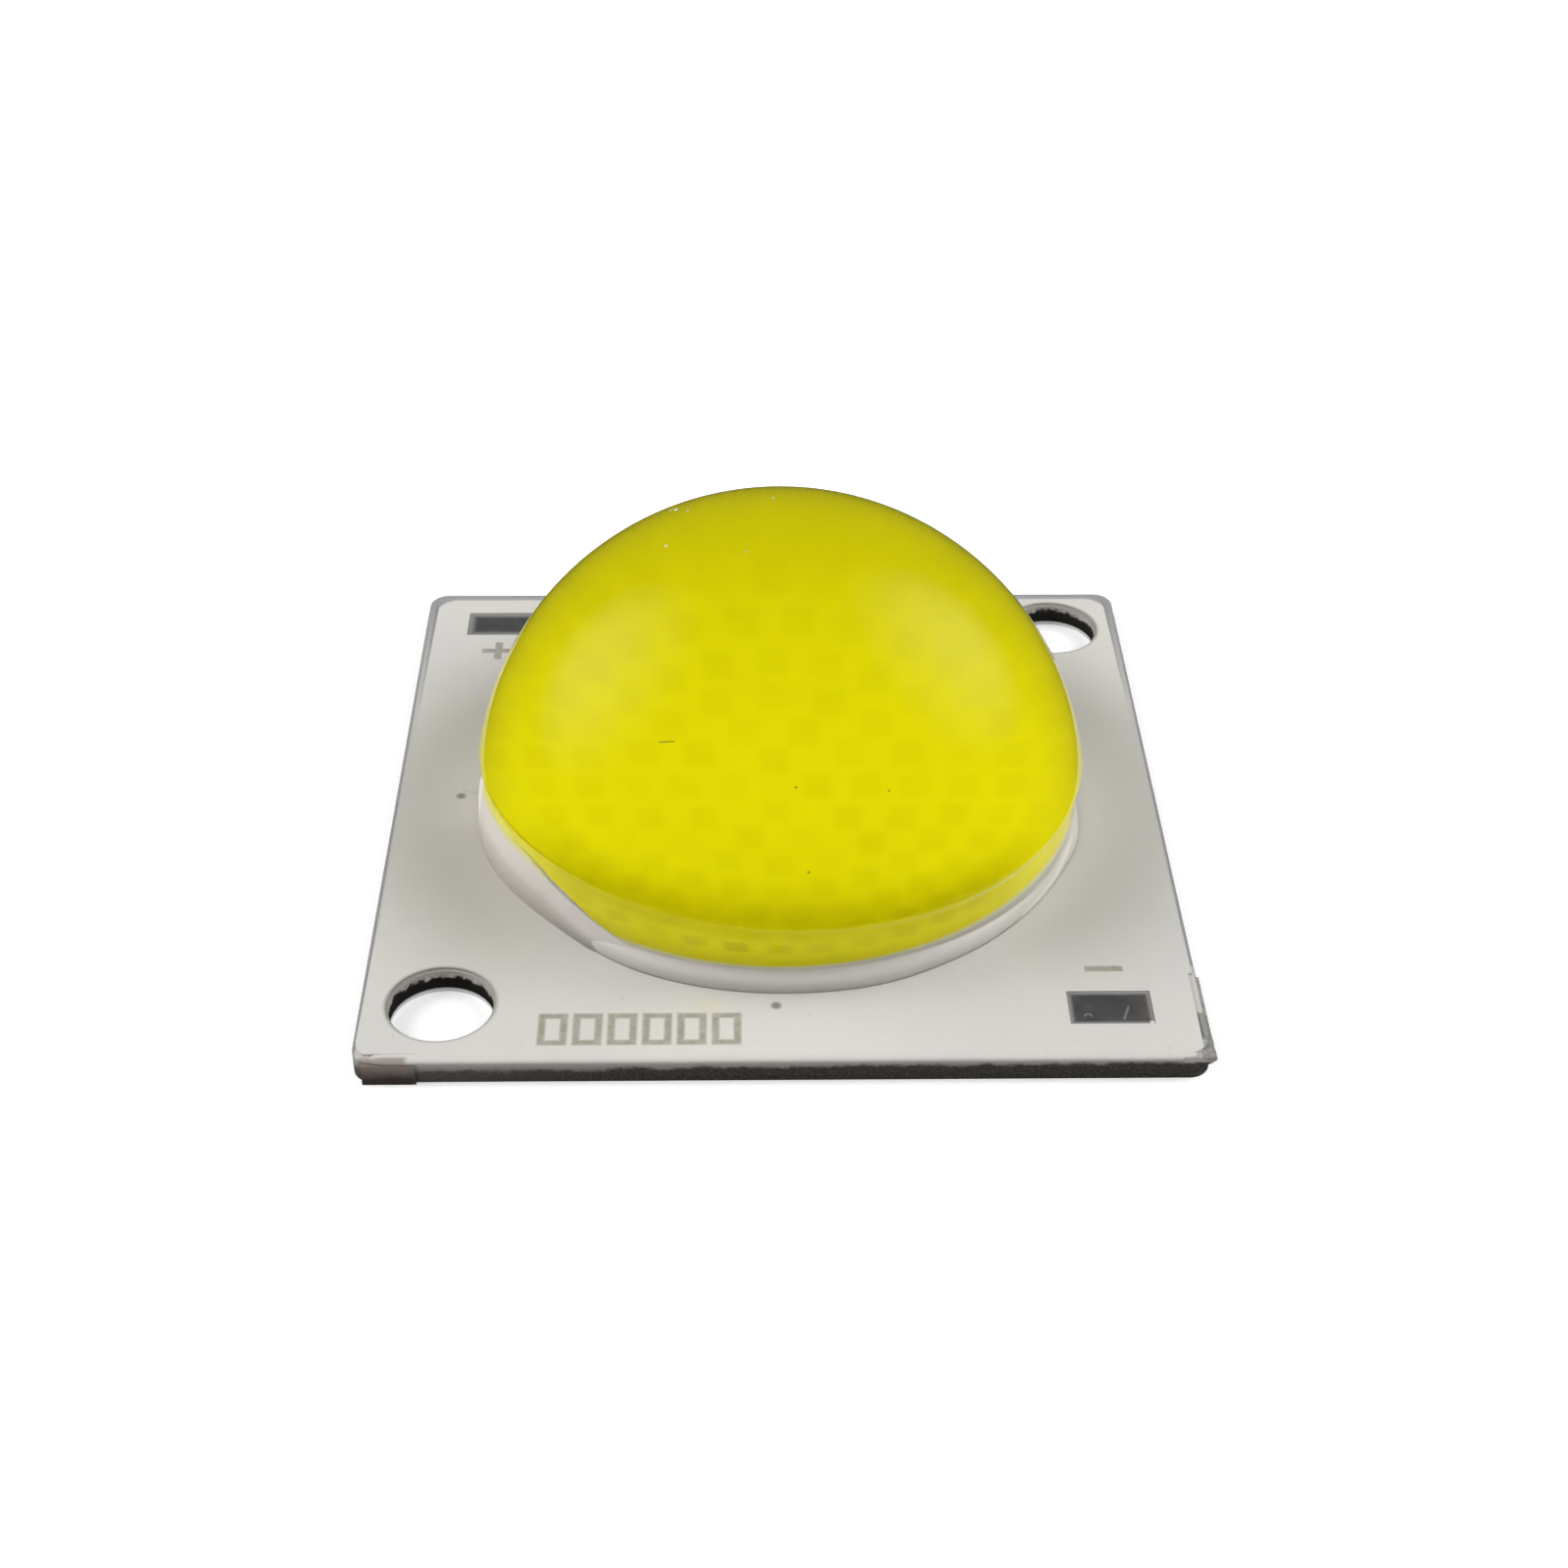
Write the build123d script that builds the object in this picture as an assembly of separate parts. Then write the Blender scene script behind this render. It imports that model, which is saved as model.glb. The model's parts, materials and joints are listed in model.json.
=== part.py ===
from build123d import *
import math
import os

# Millimetres. The origin is the centre of the plate's underside, +Z points
# out of the lens, +X to the right and -Y to the edge nearest the viewer.

# Board outline and screw holes.
board_side = 28.0
corner_radius = 0.7
hole_radius = 1.75
hole_from_edge = 2.70

# Layers of the board, from the underside up.
plate_thickness = 0.80
dielectric_thickness = 0.10
copper_thickness = 0.04
mask_thickness = 0.10
edge_roll = 0.06

# Stubs left where the board was broken out of its panel.
front_stub_length = 1.75
front_stub_from_corner = 0.35
front_stub_proud = 0.12
side_stub_length = 3.3
side_stub_from_corner = 0.75
side_stub_proud = 0.10

# White coat: its edge leans in towards the back, and it is chipped at the stubs.
mask_back_inset = 0.40
mask_front_inset = 0.10
mask_corner_radius = 0.80
mask_hole_clearance = 0.08
mask_chip_depth = 0.28

# Solder pads, as the windows in the white coat show them.
pad_length = 2.80
pad_width = 1.62
pad_from_side = 3.10
pad_from_front = 2.34
pad_cover = 0.20
lead_width = 2.0
tin_thickness = 0.02
tin_setback = 0.02

# Dam of white silicone on the coat, and the fill inside it.
dam_from_side = 3.10
dam_width = 1.15
dam_setback = 0.45
dam_wall_height = 0.40
dam_crown_height = 0.25

# Round bands inside the dam: coat, copper bus and window in the layers.
mask_over_bus = 0.25
bus_width = 1.0
bus_end_angle = 80.0
bus_setback = 0.25

# LED dies on as many rings as the window holds, cut into strings.
window_margin = 0.40
die_width = 0.50
die_length = 0.75
die_height = 0.15
first_ring_radius = 1.10
ring_pitch = 1.28
dies_in_string = 10

# Bond wires: a foot, a steep rise to the loop and a long fall to the stitch.
wire_thickness = 0.05
wire_foot = 0.10
wire_loop = 0.18
wire_peak_share = 0.35
bond_place = 0.13

# Lens: a spherical cap above a straight foot, a hair right of the centre.
foot_setback = 0.13
foot_height = 2.50
cap_overhang = 0.12
cap_center_height = 0.265
lens_shift = 0.12

# Places and heights that follow from the sizes.
half_side = board_side / 2
hole_place = half_side - hole_from_edge
pad_x = half_side - pad_from_side
pad_y = half_side - pad_from_front
lead_angle = math.degrees(math.atan2(-pad_y, pad_x))
dam_outer_radius = half_side - dam_from_side
fill_radius = dam_outer_radius - dam_width
mask_window_radius = fill_radius - dam_setback
bus_outer_radius = mask_window_radius + mask_over_bus
bus_inner_radius = bus_outer_radius - bus_width
window_radius = bus_inner_radius - bus_setback
die_field_radius = window_radius - window_margin - die_length / 2
ring_count = 1 + math.floor((die_field_radius - first_ring_radius) / ring_pitch)
foot_radius = dam_outer_radius - foot_setback
cap_radius = math.hypot(foot_radius + cap_overhang, foot_height - cap_center_height)
plate_top = plate_thickness
dielectric_top = plate_top + dielectric_thickness
copper_top = dielectric_top + copper_thickness
tin_top = copper_top + tin_thickness
board_top = dielectric_top + mask_thickness
die_top = plate_top + die_height
fill_top = board_top + dam_wall_height
foot_top = board_top + foot_height


def slab(length, width, low, high):
    """A block centred on the origin in plan, between two heights."""
    return Pos(0, 0, (low + high) / 2) * Box(length, width, high - low)


def disc(radius, low, high):
    """A round plug on the Z axis, between two heights."""
    return Pos(0, 0, (low + high) / 2) * Cylinder(radius, high - low)


def board_outline(low, high):
    """The punched square of the board, its upright edges rounded."""
    block = slab(board_side, board_side, low, high)
    return fillet(block.edges().filter_by(Axis.Z), corner_radius)


def screw_holes(radius, low, high):
    """Two plugs on the diagonal from front left to back right."""
    plug = disc(radius, low, high)
    return [Pos(end * hole_place, end * hole_place, 0) * plug for end in (-1, 1)]


def stub_strips(front_width, side_width, low, high):
    """Strips centred on the edges where the front and side stubs stand."""
    front_x = -half_side + front_stub_from_corner + front_stub_length / 2
    side_y = -half_side + side_stub_from_corner + side_stub_length / 2
    front = Pos(front_x, -half_side, 0) * slab(front_stub_length, 2 * front_width, low, high)
    side = Pos(half_side, side_y, 0) * slab(2 * side_width, side_stub_length, low, high)
    return [front, side]


def base_plate():
    """Punched aluminium plate with its screw holes and break-off stubs."""
    plate = board_outline(0, plate_top)
    plate += stub_strips(front_stub_proud, side_stub_proud, 0, plate_top)
    return plate - screw_holes(hole_radius, 0, plate_top)


def dielectric_layer():
    """Insulating layer, punched with the plate, open under the dies."""
    layer = board_outline(plate_top, dielectric_top)
    rim = layer.faces().sort_by(Axis.Z)[-1].outer_wire().edges()
    layer = chamfer(rim, edge_roll)
    layer -= disc(window_radius, plate_top, dielectric_top)
    return layer - screw_holes(hole_radius, plate_top, dielectric_top)


def negative_trace():
    """Bus arc on the front right of the dies, with a lead to its solder pad.

    Where the coat leaves the pad bare, a tin finish stands on the copper.
    """
    low, high = dielectric_top, copper_top
    ring = disc(bus_outer_radius, low, high) - disc(bus_inner_radius, low, high)
    arc_start = bus_outer_radius * math.cos(math.radians(bus_end_angle))
    arc_box = slab(2 * bus_outer_radius, 2 * bus_outer_radius, low, high)
    bus = ring & Pos(arc_start + bus_outer_radius, 0, 0) * arc_box
    lead_start = (bus_inner_radius + bus_outer_radius) / 2
    lead_length = math.hypot(pad_x, pad_y) - lead_start
    lead = Pos(lead_start + lead_length / 2, 0, 0) * slab(lead_length, lead_width, low, high)
    pad = slab(pad_length + 2 * pad_cover, pad_width + 2 * pad_cover, low, high)
    pad += slab(pad_length - 2 * tin_setback, pad_width - 2 * tin_setback, high, tin_top)
    return Rot(0, 0, lead_angle) * (bus + lead) + Pos(pad_x, -pad_y, 0) * pad


def pad_windows():
    """The two openings of the white coat over the solder pads."""
    window = slab(pad_length, pad_width, dielectric_top, board_top)
    return [Pos(end * pad_x, -end * pad_y, 0) * window for end in (-1, 1)]


def solder_mask(traces):
    """White coat that covers the copper and stays clear of the edges."""
    low, high = dielectric_top, board_top
    back = half_side - mask_back_inset
    front = half_side - mask_front_inset
    outline = Polyline((-back, back), (back, back), (front, -front), (-front, -front), close=True)
    coat = extrude(make_face(Plane.XY.offset(low) * outline), high - low)
    coat = fillet(coat.edges().filter_by(Axis.Z), mask_corner_radius)
    coat -= disc(mask_window_radius, low, high)
    coat -= screw_holes(hole_radius + mask_hole_clearance, low, high)
    coat -= stub_strips(mask_chip_depth, mask_chip_depth, low, high)
    return coat - pad_windows() - traces


def dam_ring():
    """Bead of white silicone: upright walls under a rounded crown."""
    inner_foot = (fill_radius, board_top)
    inner_top = (fill_radius, fill_top)
    crest = (fill_radius + dam_width / 2, fill_top + dam_crown_height)
    outer_top = (dam_outer_radius, fill_top)
    outer_foot = (dam_outer_radius, board_top)
    outline = Line(inner_foot, inner_top) + ThreePointArc(inner_top, crest, outer_top)
    outline += Polyline(outer_top, outer_foot, inner_foot)
    return revolve(make_face(Plane.XZ * outline), Axis.Z)


def turned(place, degrees):
    """A place in plan, turned about the centre of the board."""
    angle = math.radians(degrees)
    x = place[0] * math.cos(angle) - place[1] * math.sin(angle)
    y = place[0] * math.sin(angle) + place[1] * math.cos(angle)
    return x, y


def die_places():
    """Centres of all dies, ring by ring, each ring starting on +X.

    A ring holds an even number, no closer to each other than the rings are.
    """
    places = []
    for ring in range(ring_count):
        radius = first_ring_radius + ring * ring_pitch
        count = 2 * math.floor(math.pi * radius / ring_pitch)
        places += [turned((radius, 0), 360 * step / count) for step in range(count)]
    return places


def string_places():
    """The dies in bands that run from the positive bus to the negative one.

    Places are given with the x axis turned along the leads.
    """
    along = [turned(place, -lead_angle) for place in die_places()]
    ordered = sorted(along, key=lambda place: -place[1])
    bands = range(0, len(ordered), dies_in_string)
    return [sorted(ordered[band:band + dies_in_string]) for band in bands]


def led_string(places):
    """The dies of one string, long side along Y."""
    die = slab(die_width, die_length, plate_top, die_top)
    centers = [turned(place, lead_angle) for place in places]
    return Compound(children=[Pos(x, y, 0) * die for x, y in centers])


def bond_wire(start, start_height, end, end_height):
    """One loop of wire between two bonds, standing upright on its line."""
    span = math.dist(start, end)
    heading = math.degrees(math.atan2(end[1] - start[1], end[0] - start[0]))
    peak_x = span * wire_peak_share
    peak_height = max(start_height, end_height) + wire_loop
    outline = Polyline(
        (0, start_height),
        (peak_x, peak_height),
        (span, end_height),
        (peak_x, peak_height - wire_thickness),
        (wire_foot, start_height),
        close=True,
    )
    loop = extrude(make_face(Plane.XZ * outline), wire_thickness / 2, both=True)
    return Pos(start[0], start[1], 0) * Rot(0, 0, heading) * loop


def wire_string(places):
    """Wires from the positive bus, over each die of a string, to the negative bus."""
    bond_radius = (bus_inner_radius + mask_window_radius) / 2
    first_x, first_y = places[0]
    last_x, last_y = places[-1]
    first_bus = (-math.sqrt(bond_radius**2 - first_y**2), first_y)
    last_bus = (math.sqrt(bond_radius**2 - last_y**2), last_y)
    wires = [bond_wire(first_bus, copper_top, (first_x - bond_place, first_y), die_top)]
    for (x, y), (next_x, next_y) in zip(places, places[1:]):
        start = (x + bond_place, y)
        end = (next_x - bond_place, next_y)
        wires.append(bond_wire(start, die_top, end, die_top))
    wires.append(bond_wire((last_x + bond_place, last_y), die_top, last_bus, copper_top))
    return Compound(children=[Rot(0, 0, lead_angle) * wire for wire in wires])


def phosphor_fill(buried):
    """Yellow silicone, level inside the dam, cast around all that is in it."""
    return disc(fill_radius, plate_top, fill_top) - buried


def dome_lens(dam):
    """Clear cap over a straight foot, cast on the phosphor and the dam's crown."""
    cap_center = board_top + cap_center_height
    cap = Pos(0, 0, cap_center) * Sphere(cap_radius)
    cap &= slab(2 * cap_radius, 2 * cap_radius, foot_top, cap_center + cap_radius)
    foot = disc(foot_radius, fill_top, foot_top)
    return Pos(lens_shift, 0, 0) * (foot + cap) - dam


def save(name, shape):
    """Write one node."""
    export_step(shape, f"parts/{name}.step")


os.makedirs("parts", exist_ok=True)

dielectric = dielectric_layer()
negative = negative_trace()
positive = Rot(0, 0, 180) * negative
mask = solder_mask([negative, positive])
dam = dam_ring()
strings = string_places()
dies = [led_string(places) for places in strings]
wires = [wire_string(places) for places in strings]
buried = [dielectric, negative, positive, mask]
buried += [solid for group in dies + wires for solid in group.solids()]

save("base_plate", base_plate())
save("dielectric_layer", dielectric)
save("negative_trace", negative)
save("positive_trace", positive)
save("solder_mask", mask)
save("dam_ring", dam)
save("phosphor_fill", phosphor_fill(buried))
save("dome_lens", dome_lens(dam))
for number, (string_dies, string_wires) in enumerate(zip(dies, wires), start=1):
    save(f"led_string_{number:02d}", string_dies)
    save(f"wire_string_{number:02d}", string_wires)
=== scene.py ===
# %% [markdown]
# # A chip-on-board LED under a clear dome
# A square aluminium board carries a white coat, a round field of yellow phosphor inside a bead of
# white silicone, and a clear silicone lens on top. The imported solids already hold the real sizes.
# This lesson gives each of them its finish, replaces the two silicone pieces whose surfaces need
# more than a plain solid, and adds the print, the dust and the torn metal that make it look used.

import json
import math

import bmesh
import bpy
from mathutils import Matrix, Vector


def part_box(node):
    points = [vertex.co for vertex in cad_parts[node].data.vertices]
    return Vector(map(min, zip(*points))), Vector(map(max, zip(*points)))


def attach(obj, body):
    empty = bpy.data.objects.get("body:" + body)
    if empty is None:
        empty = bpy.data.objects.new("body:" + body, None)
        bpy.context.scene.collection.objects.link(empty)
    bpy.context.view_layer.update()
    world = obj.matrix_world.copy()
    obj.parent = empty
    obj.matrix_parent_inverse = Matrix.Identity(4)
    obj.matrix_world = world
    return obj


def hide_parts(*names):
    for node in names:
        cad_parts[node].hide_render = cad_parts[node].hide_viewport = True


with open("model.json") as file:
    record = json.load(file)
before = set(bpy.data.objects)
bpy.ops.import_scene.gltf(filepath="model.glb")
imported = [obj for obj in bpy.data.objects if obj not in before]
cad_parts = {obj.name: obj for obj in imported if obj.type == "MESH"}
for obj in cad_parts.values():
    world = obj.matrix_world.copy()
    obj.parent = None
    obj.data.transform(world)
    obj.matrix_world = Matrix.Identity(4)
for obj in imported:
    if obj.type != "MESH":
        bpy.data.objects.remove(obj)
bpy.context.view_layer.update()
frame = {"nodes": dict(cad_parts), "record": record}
MM = 0.001

# %% [markdown]
# ## Sizes from the frame
# A piece fits because its size is read from the solid that it stands on, not typed in again. Only
# what the solids don't show, such as the lens's foot under its overhang, is a number here.

# %% Read the sizes
half_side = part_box("dielectric_layer")[1].x
coat_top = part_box("solder_mask")[1].z
fill_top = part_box("phosphor_fill")[1].z
fill_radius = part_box("phosphor_fill")[1].x
dam_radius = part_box("dam_ring")[1].x
dam_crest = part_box("dam_ring")[1].z
lens_low, lens_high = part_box("dome_lens")
lens_x = (lens_low.x + lens_high.x) / 2
lip_radius = (lens_high.x - lens_low.x) / 2
lens_apex = lens_high.z

lens_foot_radius = dam_radius - 0.13 * MM
lens_foot_height = 2.5 * MM
front_step = 0.40 * MM
lip_height = coat_top + lens_foot_height
cap_rise = lens_apex - lip_height
cap_radius = (lip_radius**2 + cap_rise**2) / (2 * cap_rise)
cap_center = lens_apex - cap_radius
hole_place = 11.3
hole_radius = 1.75
print("cap radius in mm:", round(cap_radius / MM, 3))

# %% [markdown]
# ## Nodes as sums
# A node tree is easier to read as a sum than as a list of boxes and wires. `Value` stands for one
# output of a node, and each sign between two values adds a Math node. `Tree` adds any other node:
# its settings go in first, because they change which sockets there are, and then the sockets.
# Both serve finishes and shapes alike, because Blender has one kind of tree for the two.


# %% Two small classes for node trees
class Value:
    """One output of a node. Sums on it add Math nodes to its tree."""

    def __init__(self, tree, socket):
        self.tree = tree
        self.socket = socket

    def maths(self, operation, *others):
        return self.tree.maths(operation, self, *others)

    def __add__(self, other):
        return self.maths("ADD", other)

    def __radd__(self, other):
        return self.tree.maths("ADD", other, self)

    def __sub__(self, other):
        return self.maths("SUBTRACT", other)

    def __rsub__(self, other):
        return self.tree.maths("SUBTRACT", other, self)

    def __mul__(self, other):
        return self.maths("MULTIPLY", other)

    def __rmul__(self, other):
        return self.tree.maths("MULTIPLY", other, self)

    def __truediv__(self, other):
        return self.maths("DIVIDE", other)

    def __rtruediv__(self, other):
        return self.tree.maths("DIVIDE", other, self)

    def __pow__(self, other):
        return self.maths("POWER", other)

    def __abs__(self):
        return self.maths("ABSOLUTE")


class Tree:
    """A node tree that is being filled in."""

    def __init__(self, nodes):
        self.nodes = nodes

    def node(self, kind, settings=None, sockets=None, output=0):
        """Adds one node: first its settings, then its sockets' values or links."""
        made = self.nodes.nodes.new(kind)
        for name, value in (settings or {}).items():
            if name == "stops":
                made.color_ramp.elements.remove(made.color_ramp.elements[1])
                made.color_ramp.elements[0].position, made.color_ramp.elements[0].color = value[0]
                for position, color in value[1:]:
                    made.color_ramp.elements.new(position).color = color
            else:
                setattr(made, name, value)
        for name, value in (sockets or {}).items():
            for one in value if isinstance(value, list) else [value]:
                if isinstance(one, Value):
                    self.nodes.links.new(one.socket, made.inputs[name])
                else:
                    made.inputs[name].default_value = one
        return Value(self, made.outputs[output]) if made.outputs else None

    def maths(self, operation, *values):
        return self.node("ShaderNodeMath", {"operation": operation}, dict(enumerate(values)))

    def parts(self, vector):
        """The X, Y and Z of a vector."""
        split = self.node("ShaderNodeSeparateXYZ", None, {0: vector}).socket.node
        return [Value(self, socket) for socket in split.outputs]

    def vector(self, x, y, z):
        return self.node("ShaderNodeCombineXYZ", None, {"X": x, "Y": y, "Z": z})

    def mix(self, below, above, amount):
        """One colour over another, by a value from 0 to 1."""
        sockets = {0: amount, 6: below, 7: above}
        return self.node("ShaderNodeMix", {"data_type": "RGBA"}, sockets, output=2)

    def ramp(self, value, low, high):
        """0 below the low value, 1 above the high one, and an even slope between."""
        sockets = {"Value": value, "From Min": low, "From Max": high}
        return self.node("ShaderNodeMapRange", {"clamp": True}, sockets)

    def smooth(self, value, low, high):
        """As ramp, but with a soft start and end."""
        sockets = {"Value": value, "From Min": low, "From Max": high}
        return self.node("ShaderNodeMapRange", {"interpolation_type": "SMOOTHSTEP"}, sockets)

    def noise(self, place, grain, detail=2.0, roughness=0.5):
        """Cloudy noise from 0 to 1, with lumps of about the given size."""
        sockets = {"Vector": place, "Scale": 1 / grain, "Detail": detail, "Roughness": roughness}
        return self.node("ShaderNodeTexNoise", None, sockets)


# %% [markdown]
# ## The camera
# The photograph looks down on the board from the front at about 37 degrees. The camera's place,
# turn and lens come from the board's four corners, which are known in the picture and on the part.

# %% Set up the camera
PHOTO_WIDTH = 1600
camera_place = Vector((-1.456, -73.211, 56.331)) * MM
camera_yaw = math.radians(1.345)
camera_pitch = math.radians(36.788)
camera_roll = math.radians(0.591)
focal_pixels = 2542.9

forward = Vector((
    math.sin(camera_yaw) * math.cos(camera_pitch),
    math.cos(camera_yaw) * math.cos(camera_pitch),
    -math.sin(camera_pitch),
))
level = Vector((math.cos(camera_yaw), -math.sin(camera_yaw), 0))
upright = level.cross(forward)
right = level * math.cos(camera_roll) + upright * math.sin(camera_roll)
up = upright * math.cos(camera_roll) - level * math.sin(camera_roll)

camera = bpy.data.objects.new("camera", bpy.data.cameras.new("camera"))
camera.data.sensor_width = 36
camera.data.lens = focal_pixels * camera.data.sensor_width / PHOTO_WIDTH
camera.data.clip_start = 1 * MM
turned_to = Matrix((right, up, -forward)).transposed()
camera.matrix_world = Matrix.Translation(camera_place) @ turned_to.to_4x4()
bpy.context.scene.collection.objects.link(camera)
bpy.context.scene.camera = camera
print("lens in mm:", round(camera.data.lens, 2))

# %% [markdown]
# ## Light
# Two softboxes, one at each side and a little behind, give the two broad pale glows on the dome.
# Each one's place is the mirror direction of its glow on the cap. Three sheets, at the left, the
# right and the front, do most of the lighting, and they don't mirror in the lens, because the
# photograph shows no third glow. Every lamp is brightest in its middle.

# %% Set up the lamps
SOFTBOX = {"distance": 0.20, "side": 0.28, "radiance": 2.3}
SHEET = {"elevation": 40, "distance": 0.25, "side": 0.30}
FADED_OUT = 0.48


def direction(azimuth, elevation):
    """The way that two angles in degrees point."""
    turn, rise = math.radians(azimuth), math.radians(elevation)
    return Vector((math.cos(turn) * math.cos(rise), math.sin(turn) * math.cos(rise), math.sin(rise)))


def softbox(name, azimuth, elevation, distance, side, radiance):
    """A square lamp that faces the board from the given direction, brightest in its middle."""
    lamp = bpy.data.objects.new(name, bpy.data.lights.new(name, "AREA"))
    lamp.data.shape = "SQUARE"
    lamp.data.size = side
    lamp.data.energy = radiance * math.pi * side**2
    away = direction(azimuth, elevation)
    lamp.location = away * distance
    lamp.rotation_euler = away.to_track_quat("Z", "Y").to_euler()
    bpy.context.scene.collection.objects.link(lamp)
    lamp.data.use_nodes = True
    glow = Tree(lamp.data.node_tree)
    across, along, _ = glow.parts(glow.node("ShaderNodeNewGeometry", output="Parametric"))
    from_middle = ((across - 0.5) ** 2 + (along - 0.5) ** 2) ** 0.5
    strength = 1 - glow.smooth(from_middle, 0.0, FADED_OUT)
    glow.nodes.links.new(strength.socket, glow.nodes.nodes["Emission"].inputs["Strength"])
    return lamp


softbox("left_softbox", 166.3, 33.3, **SOFTBOX)
softbox("right_softbox", 19.2, 36.3, **SOFTBOX)
sheets = {"left_sheet": (180, 5.65), "right_sheet": (0, 5.75), "front_sheet": (-90, 2.5)}
for name, (azimuth, radiance) in sheets.items():
    sheet = softbox(name, azimuth, radiance=radiance, **SHEET)
    sheet.visible_glossy = False
print("lamps:", ", ".join(lamp.name for lamp in bpy.data.lights))

# %% [markdown]
# The world is white where the eye sees it, straight or through the lens, and adds next to nothing
# to the light. The lens doesn't mirror it, because the photographed dome has no pale rim.

# %% Set up the world
AMBIENT = 0.03


def seen_by_eye(tree, rays):
    """1 for these rays as long as they come straight from the camera or by way of glass."""
    seen = 0.0
    for ray in rays:
        seen = tree.maths("MAXIMUM", seen, tree.node("ShaderNodeLightPath", output=ray))
    scattered = tree.node("ShaderNodeLightPath", output="Diffuse Depth")
    return seen * tree.maths("LESS_THAN", scattered, 0.5)


world = bpy.data.worlds.new("studio")
world.use_nodes = True
bpy.context.scene.world = world
sky = Tree(world.node_tree)
background = sky.nodes.nodes["Background"]
background.inputs["Color"].default_value = (1.0, 1.0, 1.0, 1.0)
seen = seen_by_eye(sky, ["Is Camera Ray", "Is Transmission Ray"])
sky_strength = AMBIENT + (1 - AMBIENT) * seen
sky.nodes.links.new(sky_strength.socket, background.inputs["Strength"])
bpy.context.scene.view_settings.view_transform = "Standard"

# %% [markdown]
# ## Finishes
# Each finish is a function of the piece's own coordinates, in millimetres, so a pattern stays on
# the piece in every view. `finish` makes the material and hands back its tree and that place.

# %% A start and an end for every finish
materials = {}


def finish(name):
    """A new material with an empty tree, and the surface's own place in mm."""
    material = bpy.data.materials.new(name)
    material.use_nodes = True
    material.node_tree.nodes.clear()
    materials[name] = material
    tree = Tree(material.node_tree)
    here = tree.node("ShaderNodeTexCoord", output="Object")
    place = tree.node("ShaderNodeVectorMath", {"operation": "SCALE"}, {0: here, "Scale": 1 / MM})
    print("finish:", name)
    return tree, place


def surface(tree, sockets):
    """Ends a finish in one Principled shader."""
    shader = tree.node("ShaderNodeBsdfPrincipled", None, sockets)
    tree.node("ShaderNodeOutputMaterial", None, {"Surface": shader})


def bump(tree, height, depth):
    """A normal from a height of 0 to 1 that stands for the given depth in mm."""
    return tree.node("ShaderNodeBump", None, {"Height": height, "Distance": depth * MM})


def color(red, green, blue):
    return (red, green, blue, 1.0)


def apart(across, along):
    """The distance that two differences make together."""
    return (across**2 + along**2) ** 0.5


def off_bar(tree, x, y, center_x, center_y, half_x, half_y):
    """How far a point lies outside a bar, in mm, and 0 inside it."""
    off_x = tree.maths("MAXIMUM", abs(x - center_x) - half_x, 0.0)
    off_y = tree.maths("MAXIMUM", abs(y - center_y) - half_y, 0.0)
    return apart(off_x, off_y)


def within(tree, value, low, high, blur):
    """1 between two values and 0 outside them, with a soft change of the given width."""
    above_low = tree.smooth(value, low - blur / 2, low + blur / 2)
    return above_low * (1 - tree.smooth(value, high - blur / 2, high + blur / 2))


def to_holes(x, y):
    """How far a point is from the middle of each screw hole, in mm."""
    return [apart(x - end * hole_place, y - end * hole_place) for end in (-1, 1)]


# %% [markdown]
# ### The white coat
# A printed coat isn't one white. It is a little warmer in some places, has fine pores, and is
# thin and grey round the punched holes. Its sheen is satin, with the grain of orange peel. Left
# and right of the dome a painted shadow of the dome darkens it. Along the back edge it is painted
# grey in a strip wider than the bare one that the solids leave, as painted shade.

# %% White coat
tree, place = finish("white_coat")
x, y, z = tree.parts(place)
clouds = tree.noise(place, 5.0, detail=3.0)
coat = tree.mix(color(0.68, 0.66, 0.615), color(0.645, 0.63, 0.60), tree.ramp(clouds, 0.35, 0.65))
pores = tree.ramp(tree.noise(place, 0.22, detail=1.0), 0.72, 0.80)
coat = tree.mix(coat, color(0.50, 0.47, 0.42), 0.4 * pores)
for reach in to_holes(x, y):
    rim = 1 - tree.smooth(reach, hole_radius + 0.06, hole_radius + 0.22)
    coat = tree.mix(coat, color(0.34, 0.33, 0.31), 0.8 * rim)

# Painted shadow: the dome's shade on the coat, left and right of it.
beside = tree.smooth(abs(x) / apart(x, y), 0.55, 0.95) * (1 - tree.smooth(apart(x, y), 12.0, 16.5))
coat = tree.mix(coat, color(0.555, 0.535, 0.475), beside)
coat = tree.mix(color(0.36, 0.345, 0.32), coat, tree.smooth(z, 0.80, 0.985))

# %% [markdown]
# The print is part of the coat's finish, because ink has no thickness that a hand could feel. The
# two signs tell the pads apart, and two dots mark the axes. Six plain boxes stand in a row at
# the front: one box is drawn in a cell, and the cell repeats along X. Each bar of a sign is given
# by its middle and its two half lengths.

# %% Print on the coat
signs = [(10.90, -9.72, 0.60, 0.09), (-10.95, 9.70, 0.60, 0.10), (-10.95, 9.70, 0.10, 0.55)]
ink = 0.0
for sign in signs:
    ink = tree.maths("MAXIMUM", ink, 1 - tree.smooth(off_bar(tree, x, y, *sign), 0.0, 0.09))
for dot_x, dot_y in ((-11.60, 0.10), (-0.19, -11.49)):
    dot = 1 - tree.smooth(apart(x - dot_x, y - dot_y), 0.08, 0.25)
    coat = tree.mix(coat, color(0.20, 0.175, 0.15), 0.9 * dot)
cell_width, first_cell, cells = 1.14, -8.10, 6
row_y, box_half_x, box_half_y = -12.60, 0.36, 0.64
along = x - first_cell
cell = along - cell_width * tree.maths("FLOOR", along / cell_width) - cell_width / 2
outline = tree.maths("MAXIMUM", abs(cell) - box_half_x, abs(y - row_y) - box_half_y)
stroke = 1 - tree.smooth(abs(outline), 0.06, 0.18)
in_row = within(tree, along, 0.0, cells * cell_width, 0.02)
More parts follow.
